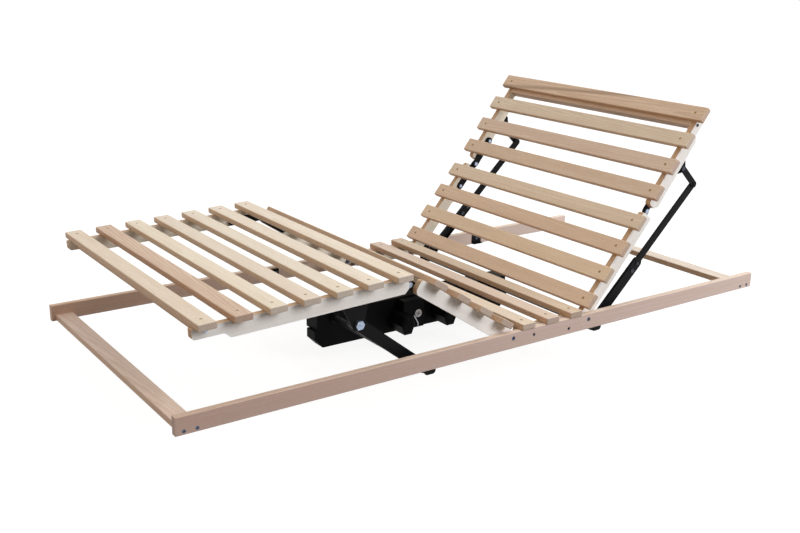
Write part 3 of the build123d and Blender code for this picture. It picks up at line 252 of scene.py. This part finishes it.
def birch_plywood(name, turn, seed):
    """Sanded plywood whose plies lie upright along the bed."""
    finish, tree, output = new_finish(name)
    coord = add(tree, "TexCoord")
    lined = mapped(tree, coord.outputs["Object"], (0.0, turn, 0.0))
    across = axes(tree, coord.outputs["Object"])[1]
    face = axes(tree, coord.outputs["Normal"])[1]
    edge = spread(tree, calc(tree, "ABSOLUTE", face), 0.75, 0.45)
    inward_painted_light = calc(tree, "LESS_THAN", calc(tree, "MULTIPLY", across, face), 0.0)
    veneer = mapped(tree, lined, stretch=(0.05, 0.3, 1.0), shift=(0.5 * seed, 0.0, 0.2 * seed))
    vein = specks(tree, veneer, 120.0, 5.0, 0.6)
    cloud = specks(tree, veneer, 22.0, 3.0)
    fibre = specks(tree, veneer, 1100.0, 2.0)
    skin = blend(tree, spread(tree, vein, 0.42, 0.72, 0.0, 0.55), tone(243, 241, 240), tone(226, 219, 212))
    skin = blend(tree, spread(tree, cloud, 0.4, 0.7, 0.0, 0.35), skin, tone(233, 227, 222))
    skin = blend(tree, spread(tree, fibre, 0.5, 0.8, 0.0, 0.3), skin, tone(212, 200, 190))
    # Painted light: faces that look inwards are lifted to a bright cream.
    skin = blend(tree, calc(tree, "MULTIPLY", inward_painted_light, 0.75), skin, tone(255, 244, 224))
    depth = calc(tree, "DIVIDE", calc(tree, "ABSOLUTE", across), sheet / ply_count)
    layer = calc(tree, "PINGPONG", depth, 1.0)
    turned = spread(tree, layer, 0.45, 0.55)
    even = specks(tree, mapped(tree, lined, stretch=(0.08, 1.0, 0.08)), 700.0)
    grainy = specks(tree, mapped(tree, lined, stretch=(1.0, 0.4, 1.0)), 900.0)
    light_ply = blend(tree, spread(tree, even, 0.4, 0.7), tone(224, 200, 170), tone(204, 174, 140))
    dark_ply = blend(tree, spread(tree, grainy, 0.4, 0.7), tone(190, 156, 120), tone(150, 114, 82))
    plies = blend(tree, turned, light_ply, dark_ply)
    off_joint = calc(tree, "ABSOLUTE", calc(tree, "SUBTRACT", layer, 0.5))
    glue = spread(tree, off_joint, 0.10, 0.04)
    plies = blend(tree, calc(tree, "MULTIPLY", glue, 0.55), plies, tone(112, 78, 54))
    colour = blend(tree, edge, skin, plies)
    rough = spread(tree, vein, 0.3, 0.7, 0.5, 0.64)
    relief = blend(tree, edge, fibre, calc(tree, "MULTIPLY", turned, 0.8))
    coat(tree, output, colour, rough, relief, 0.25, 0.0004, {"Specular IOR Level": 0.3})
    return finish


section_turn = {
    "leg": radians(2),
    "thigh": radians(-33),
    "seat": 0.0,
    "back": radians(49.5),
    "head": radians(52),
}
for seed, (section, turn) in enumerate(section_turn.items()):
    dress(section + "_rails", birch_plywood(section + "_plywood", turn, seed + 1))


# The cross boards stand on edge between the leg rails and between the head rails.
# They are beech, screwed through the plywood into their end grain.
for section, seed, heart in (("leg", 3, (0.04, 0.05)), ("head", 9, (-0.05, 0.03))):
    name = section + "_cross_board"
    tones = tone(226, 206, 186), tone(192, 162, 136), tone(200, 170, 144), sawn_end
    dress(name, beech(name, middle(name), (0.0, section_turn[section], 0.0), tones, seed, heart))


# The slats are beech battens with rounded edges, laid across the rails and screwed down.
# Each is its own piece of wood: some are pinker, some show heartwood, some are nearly white.
slat_tones = {
    "leg_slat": (
        ((226, 212, 192), (198, 174, 148)),
        ((212, 189, 166), (181, 148, 123)),
        ((232, 222, 202), (207, 186, 159)),
        ((227, 215, 197), (201, 180, 157)),
        ((231, 222, 203), (203, 182, 157)),
        ((232, 222, 204), (205, 184, 160)),
        ((234, 224, 206), (203, 180, 155)),
    ),
    "thigh_slat": (
        ((224, 207, 186), (196, 168, 142)),
        ((220, 203, 182), (190, 162, 136)),
        ((226, 211, 190), (198, 172, 146)),
        ((222, 205, 184), (194, 166, 140)),
    ),
    # The seat slats grow darker towards the raised back, as painted shade.
    "seat_slat": (
        ((226, 211, 191), (198, 172, 148)),
        ((218, 200, 182), (190, 161, 140)),
        ((213, 196, 173), (186, 157, 132)),
    ),
    "back_slat": (
        ((224, 201, 176), (194, 161, 133)),
        ((229, 209, 182), (201, 170, 140)),
        ((225, 203, 178), (197, 164, 136)),
        ((229, 214, 191), (201, 174, 147)),
    ),
    "head_slat": (
        ((224, 204, 181), (196, 165, 137)),
        ((228, 209, 190), (196, 167, 144)),
        ((234, 221, 200), (205, 182, 157)),
        ((232, 210, 186), (188, 153, 121)),
    ),
}
# Slat flanks are darker and browner than the tops: partly the rings cut another way, partly painted shade.
flank_shade_share = (0.91, 0.81, 0.72)
sawn_share = (0.84, 0.82, 0.85)
slat_figure = {
    "leg_slat_2": (0.75, 0.40),
    "leg_slat_4": (0.34, 0.22),
    "back_slat_2": (0.36, 0.24),
    "back_slat_3": (0.34, 0.30),
    "head_slat_2": (0.52, 0.34),
    "head_slat_3": (0.46, 0.40),
    "head_slat_4": (0.40, 0.20),
}
slat_streak = {"head_slat_4": (0.0123, -0.077, 0.010, -0.42)}
for group, grades in slat_tones.items():
    for place, (pale, dark) in enumerate(grades):
        name = f"{group}_{place + 1}"
        seed = 2 + 3 * place + len(group)
        side = -1 if (place + len(group)) % 2 else 1
        heart = (side * (0.012 + 0.019 * (seed % 4)), 0.026 + 0.013 * (seed % 5))
        turn = (0.0, section_turn[group.split("_")[0]], 0.0)
        flank = tone(*[share * c for share, c in zip(flank_shade_share, pale)])
        sawn = tone(*[share * c for share, c in zip(sawn_share, pale)])
        tones = tone(*pale), tone(*dark), flank, sawn
        figure = slat_figure.get(name, plain_figure)
        streak = slat_streak.get(name)
        wood = beech(name, middle(name), turn, tones, seed, heart, figure, streak=streak)
        dress(name, wood)


# Hinge strips, brackets, lift arms, shafts and links are pressed and cut steel.
# They are powder coated in black, with the fine orange peel and dull sheen of that finish.
def powder_coat(name):
    """Black powder coat with faint dust and orange peel."""
    finish, tree, output = new_finish(name)
    coord = add(tree, "TexCoord").outputs["Object"]
    peel = specks(tree, coord, 620.0, 2.0)
    dust = specks(tree, coord, 16.0, 5.0, 0.65)
    grit = specks(tree, coord, 2400.0, 1.0)
    colour = blend(tree, spread(tree, dust, 0.42, 0.75, 0.0, 0.6), tone(7, 7, 8), tone(14, 14, 15))
    colour = blend(tree, spread(tree, grit, 0.62, 0.8, 0.0, 0.4), colour, tone(26, 26, 28))
    rough = spread(tree, dust, 0.3, 0.7, 0.40, 0.54)
    relief = calc(tree, "ADD", calc(tree, "MULTIPLY", peel, 0.75), calc(tree, "MULTIPLY", grit, 0.25))
    coat(tree, output, colour, rough, relief, 0.25, 0.0004, {"Specular IOR Level": 0.09})
    return finish


coated = powder_coat("black_steel")
for name in (
    "thigh_strips",
    "leg_strips",
    "back_strips",
    "head_strips",
    "rail_brackets",
    "leg_lift_shaft",
    "leg_lift_arm",
    "leg_lift_bracket",
    "back_lift_shaft",
    "back_arms",
    "arm_extensions",
    "head_links",
):
    dress(name, coated)


# Bolts, nuts and washers are zinc plated steel: bluish in the frame, bright in the leg section, and bright
# inside the rails in the other sections. On the arms, and outside the rails in those other sections, the
# same zinc is darkened as painted shade.
# The countersunk slat screws are yellow passivated and have dulled to a dark brass colour.
rail_middle = 0.409
below_slat = 0.010
above_all = 9.0
blue_zinc = tone(96, 108, 128), tone(52, 60, 74)
bright_zinc = tone(172, 186, 204), tone(116, 128, 146)
# The same zinc plate darkened as painted shade.
zinc_painted_shade = tone(74, 78, 86), tone(38, 40, 46)
inner_zinc = tone(158, 170, 188)


def plated(name, turn, limit, tones, inner=None):
    """Zinc plate, of another tone inside the rails, with yellow screws above a level in a section."""
    finish, tree, output = new_finish(name)
    coord = add(tree, "TexCoord").outputs["Object"]
    lined = mapped(tree, coord, (0.0, turn, 0.0))
    place = axes(tree, lined)
    above = calc(tree, "GREATER_THAN", place[2], limit)
    bloom = specks(tree, coord, 260.0, 4.0, 0.6)
    scratch = specks(tree, mapped(tree, lined, stretch=(1.0, 0.1, 0.25)), 1800.0, 2.0)
    worn = spread(tree, bloom, 0.35, 0.7)
    zinc = blend(tree, worn, *tones)
    if inner:
        inside = calc(tree, "LESS_THAN", calc(tree, "ABSOLUTE", place[1]), rail_middle)
        zinc = blend(tree, inside, zinc, inner)
    brass = blend(tree, worn, tone(150, 122, 80), tone(104, 80, 52))
    colour = blend(tree, above, zinc, brass)
    rough = spread(tree, bloom, 0.3, 0.7, 0.28, 0.46)
    coat(tree, output, colour, rough, scratch, 0.15, 0.0002, {"Metallic": 1.0})
    return finish


for section, slats, tones, inner in (
    ("thigh", "thigh", zinc_painted_shade, inner_zinc),
    ("leg", "leg", bright_zinc, None),
    ("back", "back", zinc_painted_shade, inner_zinc),
    ("head", "head", zinc_painted_shade, inner_zinc),
    ("frame", "seat", blue_zinc, None),
):
    turn = section_turn[slats]
    lifted = Matrix.Rotation(turn, 3, "Y") @ middle(slats + "_slat_2")
    zinc = plated(section + "_zinc", turn, lifted.z - below_slat, tones, inner)
    dress(section + "_fasteners", zinc)
dress("arm_bolts", plated("arm_zinc", 0.0, above_all, zinc_painted_shade))


# The drive is a long two-part case of black moulded plastic that hangs on both lift shafts.
# Its skin has a fine sparked texture, a little paler where hands and dust have been.
def moulded(name, dark, pale, grain, rough, gloss):
    """Moulded or cast piece with a sparked texture."""
    finish, tree, output = new_finish(name)
    coord = add(tree, "TexCoord").outputs["Object"]
    spark = specks(tree, coord, grain, 2.0, 0.6)
    dust = specks(tree, coord, 11.0, 5.0, 0.65)
    colour = blend(tree, spread(tree, dust, 0.42, 0.75, 0.0, 0.7), dark, pale)
    colour = blend(tree, spread(tree, spark, 0.55, 0.8, 0.0, 0.35), colour, pale)
    uneven = spread(tree, spark, 0.3, 0.7, rough - 0.06, rough + 0.08)
    coat(tree, output, colour, uneven, spark, 0.35, 0.0005, {"Specular IOR Level": gloss})
    return finish


drive_plastic = moulded("drive_plastic", tone(6, 6, 7), tone(13, 13, 14), 1100.0, 0.50, 0.05)
for name in ("drive_housing", "drive_cover", "shaft_caps"):
    dress(name, drive_plastic)


# A round pale cap with a raised cross-shaped rib shuts the spare socket on the near face of the drive; the
# rib is dark grey as painted shade of a cross slot.
# It is moulded plastic with a raised rim, and is pressed into the drive beside the lead clip.
socket_face = 0.020
cap_middle = Vector((-0.001, socket_face, -0.042))
cap_profile = (
    (0.0, 0.0012),
    (0.0096, 0.0012),
    (0.0102, 0.0021),
    (0.0116, 0.0021),
    (0.0125, 0.0013),
    (0.0125, 0.0),
    (0.0, 0.0),
)
cap_steps = 48
rib_reach, rib_breadth, rib_proud, rib_root = 0.0082, 0.0013, 0.0022, 0.0006
rib_turn, rib_round = 20, 0.0004
second_rib_short = 0.00018
merge_gap = 0.00001


def finished(name, shape, body, slot, *finishes):
    """Make a shape a piece of the bed that rides on a body."""
    bmesh.ops.recalc_face_normals(shape, faces=shape.faces)
    mesh = bpy.data.meshes.new(name)
    shape.to_mesh(mesh)
    shape.free()
    for finish in finishes:
        mesh.materials.append(finish)
    piece = bpy.data.objects.new(name, mesh)
    bpy.context.scene.collection.objects.link(piece)
    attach(piece, body)


cap = bmesh.new()
corners = [cap.verts.new(cap_middle + Vector((across, -proud, 0.0))) for across, proud in cap_profile]
edges = [cap.edges.new(pair) for pair in zip(corners, corners[1:])]
bmesh.ops.spin(
    cap,
    geom=corners + edges,
    cent=cap_middle,
    axis=(0.0, 1.0, 0.0),
    angle=radians(360),
    steps=cap_steps,
    use_merge=True,
)
bmesh.ops.remove_doubles(cap, verts=cap.verts, dist=merge_gap)
disc_faces = set(cap.faces)
rib_middle = cap_middle - Vector((0.0, (rib_proud + rib_root) / 2, 0.0))
for turn, length in (
    (rib_turn, 2 * rib_reach),
    (rib_turn + 90, 2 * rib_reach - second_rib_short),
):
    rib = bmesh.ops.create_cube(cap, size=1.0)["verts"]
    bmesh.ops.scale(cap, verts=rib, vec=(2 * rib_breadth, rib_proud - rib_root, length))
    around = Matrix.Rotation(radians(turn), 3, "Y")
    bmesh.ops.rotate(cap, verts=rib, cent=(0.0, 0.0, 0.0), matrix=around)
    bmesh.ops.translate(cap, verts=rib, vec=rib_middle)
    rib_edges = list({edge for vert in rib for edge in vert.link_edges})
    bmesh.ops.bevel(
        cap, geom=rib_edges, offset=rib_round, affect="EDGES", segments=2, profile=0.5, material=-1
    )
for face in cap.faces:
    face.material_index = 0 if face in disc_faces else 1
cap_plastic = moulded("cap_plastic", tone(230, 231, 235), tone(240, 241, 244), 900.0, 0.40, 0.4)
# The rib's dark grey is painted shade of a cross slot.
rib_painted_slot_shade = moulded("rib_painted_slot_shade", tone(84, 86, 92), tone(118, 120, 126), 900.0, 0.44, 0.4)
finished("socket_cap", cap, "frame", "block_plastic", cap_plastic, rib_painted_slot_shade)


# The lead clip beside the cap is a flat spring of bent steel on the same face of the drive.
# It stands upright at its foot, bends over, and runs aslant to the edge of the motor bulge.
clip_breadth, clip_proud = 0.0032, 0.0018
clip_foot = Vector((-0.002, socket_face, -0.083))
clip_rise, clip_bend, clip_run, clip_tilt = 0.008, 0.010, 0.028, radians(30)
clip_steps = 6
clip = bmesh.new()
foot = bmesh.ops.create_grid(clip, x_segments=1, y_segments=1, size=0.5)["verts"]
bmesh.ops.scale(clip, verts=foot, vec=(clip_breadth, clip_proud, 1.0))
bmesh.ops.translate(clip, verts=foot, vec=clip_foot - Vector((0.0, clip_proud / 2, 0.0)))


def drawn_on(shape, face, step):
    """Pull one face on and give the new end."""
    made = bmesh.ops.extrude_face_region(shape, geom=[face])["geom"]
    bmesh.ops.translate(shape, verts=[v for v in made if isinstance(v, bmesh.types.BMVert)], vec=step)
    return next(f for f in made if isinstance(f, bmesh.types.BMFace))


end = drawn_on(clip, clip.faces[:][0], Vector((0.0, 0.0, clip_rise)))
bent = bmesh.ops.spin(
    clip,
    geom=[end],
    cent=clip_foot + Vector((-clip_bend, 0.0, clip_rise)),
    axis=(0.0, -1.0, 0.0),
    angle=clip_tilt,
    steps=clip_steps,
)["geom_last"]
end = next(f for f in bent if isinstance(f, bmesh.types.BMFace))
run = Matrix.Rotation(clip_tilt, 3, (0.0, -1.0, 0.0)) @ Vector((0.0, 0.0, clip_run))
drawn_on(clip, end, run)
bmesh.ops.remove_doubles(clip, verts=clip.verts, dist=merge_gap)
spring_tones = tone(176, 178, 184), tone(140, 142, 148)
spring = plated("clip_steel", 0.0, above_all, spring_tones)
finished("lead_clip", clip, "frame", "zinc_steel", spring)


# Inside the case sit two gearmotors, two threaded spindles, two thrust blocks and a circuit board.
# The gearmotors are die cast, the spindles bare steel, the blocks pale slippery plastic.
spindle_lead = 0.004


def bare_steel(name, axis):
    """Steel spindle with its thread rolled round the axis, darker in the thread roots as painted shade."""
    finish, tree, output = new_finish(name)
    coord = add(tree, "TexCoord").outputs["Object"]
    place = axes(tree, coord)
    side = calc(tree, "SUBTRACT", place[1], axis.y)
    rise = calc(tree, "SUBTRACT", place[2], axis.z)
    round_turn = calc(tree, "DIVIDE", calc(tree, "ARCTAN2", rise, side), radians(360))
    along = calc(tree, "DIVIDE", place[0], spindle_lead)
    thread = calc(tree, "PINGPONG", calc(tree, "ADD", along, round_turn), 0.5)
    smear = specks(tree, coord, 340.0, 3.0)
    # The thread roots are darkened as painted shade.
    colour = blend(tree, spread(tree, thread, 0.1, 0.4), tone(96, 92, 86), tone(186, 186, 184))
    colour = blend(tree, spread(tree, smear, 0.5, 0.75, 0.0, 0.6), colour, tone(120, 108, 88))
    rough = spread(tree, smear, 0.3, 0.7, 0.25, 0.42)
    coat(tree, output, colour, rough, thread, 0.7, 0.001, {"Metallic": 1.0})
    return finish


for name in ("leg_spindle", "back_spindle"):
    dress(name, bare_steel(name + "_steel", middle(name)))
dress("gearmotors", moulded("die_cast", tone(118, 120, 122), tone(160, 162, 164), 700.0, 0.42, 0.4))
slippery = moulded("block_plastic", tone(196, 190, 176), tone(214, 209, 198), 900.0, 0.36, 0.4)
for name in ("leg_thrust_block", "back_thrust_block"):
    dress(name, slippery)


def circuit_finish(name, board_low, board_high):
    """Green solder mask with copper runs on the board, dark parts above it and posts below."""
    finish, tree, output = new_finish(name)
    coord = add(tree, "TexCoord").outputs["Object"]
    height = axes(tree, coord)[2]
    above = calc(tree, "GREATER_THAN", height, board_high)
    below = calc(tree, "LESS_THAN", height, board_low)
    runs = add(
        tree,
        "TexBrick",
        {
            "Vector": coord,
            "Color1": tone(26, 92, 54),
            "Color2": tone(32, 104, 60),
            "Mortar": tone(96, 134, 72),
            "Scale": 90.0,
            "Mortar Size": 0.03,
        },
    ).outputs["Color"]
    mottle = specks(tree, coord, 900.0, 2.0)
    mask = blend(tree, spread(tree, mottle, 0.4, 0.8, 0.0, 0.4), runs, tone(18, 70, 42))
    part = blend(tree, spread(tree, mottle, 0.4, 0.8), tone(24, 24, 26), tone(40, 40, 42))
    colour = blend(tree, above, mask, part)
    colour = blend(tree, below, colour, tone(200, 196, 186))
    rough = spread(tree, mottle, 0.3, 0.7, 0.30, 0.42)
    coat(tree, output, colour, rough, mottle, 0.2, 0.0002, {})
    return finish


post_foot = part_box("control_board")[0].z
board_under, board_top = 0.0068, 0.0088
solder_mask = circuit_finish("circuit_board", post_foot + board_under, post_foot + board_top)
dress("control_board", solder_mask)


# The floor is a wide plain sweep of pale card, set a little below the lowest place of the base.
# It reads as white to the eye and still takes the soft shadow of the bed.
floor_level, floor_reach, floor_glow = -0.135, 14.0, 0.87
card_lit, card_seen = (0.10, 0.09, 0.08, 1.0), (0.26, 0.26, 0.26, 1.0)
white = (1.0, 1.0, 1.0, 1.0)


def seen_rays(tree):
    """1 for what the eye sees, straight or in gloss or glass, and 0 for light that falls on the bed."""
    sight = add(tree, "LightPath").outputs
    seen = calc(tree, "MAXIMUM", sight["Is Camera Ray"], sight["Is Glossy Ray"])
    return calc(tree, "MAXIMUM", seen, sight["Is Transmission Ray"])


sweep = bmesh.new()
bmesh.ops.create_grid(sweep, x_segments=2, y_segments=2, size=floor_reach)
bmesh.ops.translate(sweep, verts=sweep.verts, vec=(0.0, 0.0, floor_level))
floor_mesh = bpy.data.meshes.new("floor")
sweep.to_mesh(floor_mesh)
sweep.free()
floor = bpy.data.objects.new("floor", floor_mesh)
bpy.context.scene.collection.objects.link(floor)
card, tree, output = new_finish("floor_card")
seen = seen_rays(tree)
matt = add(tree, "BsdfDiffuse", {"Color": blend(tree, seen, card_lit, card_seen)})
glow_level = calc(tree, "MULTIPLY", seen, floor_glow)
glow = add(tree, "Emission", {"Color": white, "Strength": glow_level})
both = add(tree, "AddShader", {0: matt.outputs[0], 1: glow.outputs[0]})
tree.links.new(both.outputs[0], output.inputs[0])
floor_mesh.materials.append(card)


# Plain studio light: a large soft box at the near head corner, a broad light overhead, and weak
# fills from the foot and the far side. The room is white to the eye and dim to the bed.
warm_fill, warm_room = (1.0, 0.80, 0.64), (1.0, 0.80, 0.62, 1.0)
room_level = 0.07


def hold_lamp(name, lamp, towards, place):
    """Put a lamp in the scene, aimed along a direction."""
    holder = bpy.data.objects.new(name, lamp)
    holder.location = place
    holder.rotation_euler = Vector(towards).to_track_quat("-Z", "Y").to_euler()
    bpy.context.scene.collection.objects.link(holder)


def broad_light(name, towards, level, breadth, colour):
    """Far soft lamp; at level 1 a white card that faces it is just white."""
    lamp = bpy.data.lights.new(name, "SUN")
    lamp.energy = level * pi
    lamp.angle = radians(breadth)
    lamp.color = colour
    hold_lamp(name, lamp, towards, (0.0, 0.0, 0.0))


def soft_box(name, place, level, width):
    """Square lamp aimed at the middle of the bed, where its level is that of a broad light."""
    lamp = bpy.data.lights.new(name, "AREA")
    lamp.size = width
    lamp.energy = level * (pi * Vector(place).length) ** 2
    hold_lamp(name, lamp, -Vector(place), place)


soft_box("head_corner", (3.7, -5.2, 3.7), 0.82, 4.2)
broad_light("overhead", (0.04, 0.05, -1.0), 0.44, 86.0, white[:3])
broad_light("foot_side", (1.0, 0.15, -0.20), 0.36, 70.0, warm_fill)
broad_light("far_side", (-0.30, -1.0, -0.40), 0.14, 70.0, white[:3])
room = bpy.data.worlds.new("room")
room.use_nodes = True
tree = room.node_tree
tree.nodes.clear()
seen = seen_rays(tree)
room_colour = blend(tree, seen, warm_room, white)
room_strength = spread(tree, seen, 0.0, 1.0, room_level, 1.0)
sky = add(tree, "Background", {"Color": room_colour, "Strength": room_strength})
tree.links.new(sky.outputs[0], add(tree, "OutputWorld").inputs[0])
bpy.context.scene.world = room
bpy.context.scene.view_settings.view_transform = "Standard"


# The camera stands off the near foot corner, higher than the raised back, as in the photograph.
# Its place, turn and lens put the corners of the frame where the photograph has them.
view = bpy.data.cameras.new("view")
view.sensor_fit = "HORIZONTAL"
view.sensor_width = 36.0
view.lens = 46.74951
view.clip_end = 100.0
stand = bpy.data.objects.new("view", view)
stand.location = (-1.781733, -2.396652, 1.036683)
stand.rotation_euler = (1.2702535709861937, -0.017168813315389997, -0.6102450873872223)
bpy.context.scene.collection.objects.link(stand)
bpy.context.scene.camera = stand
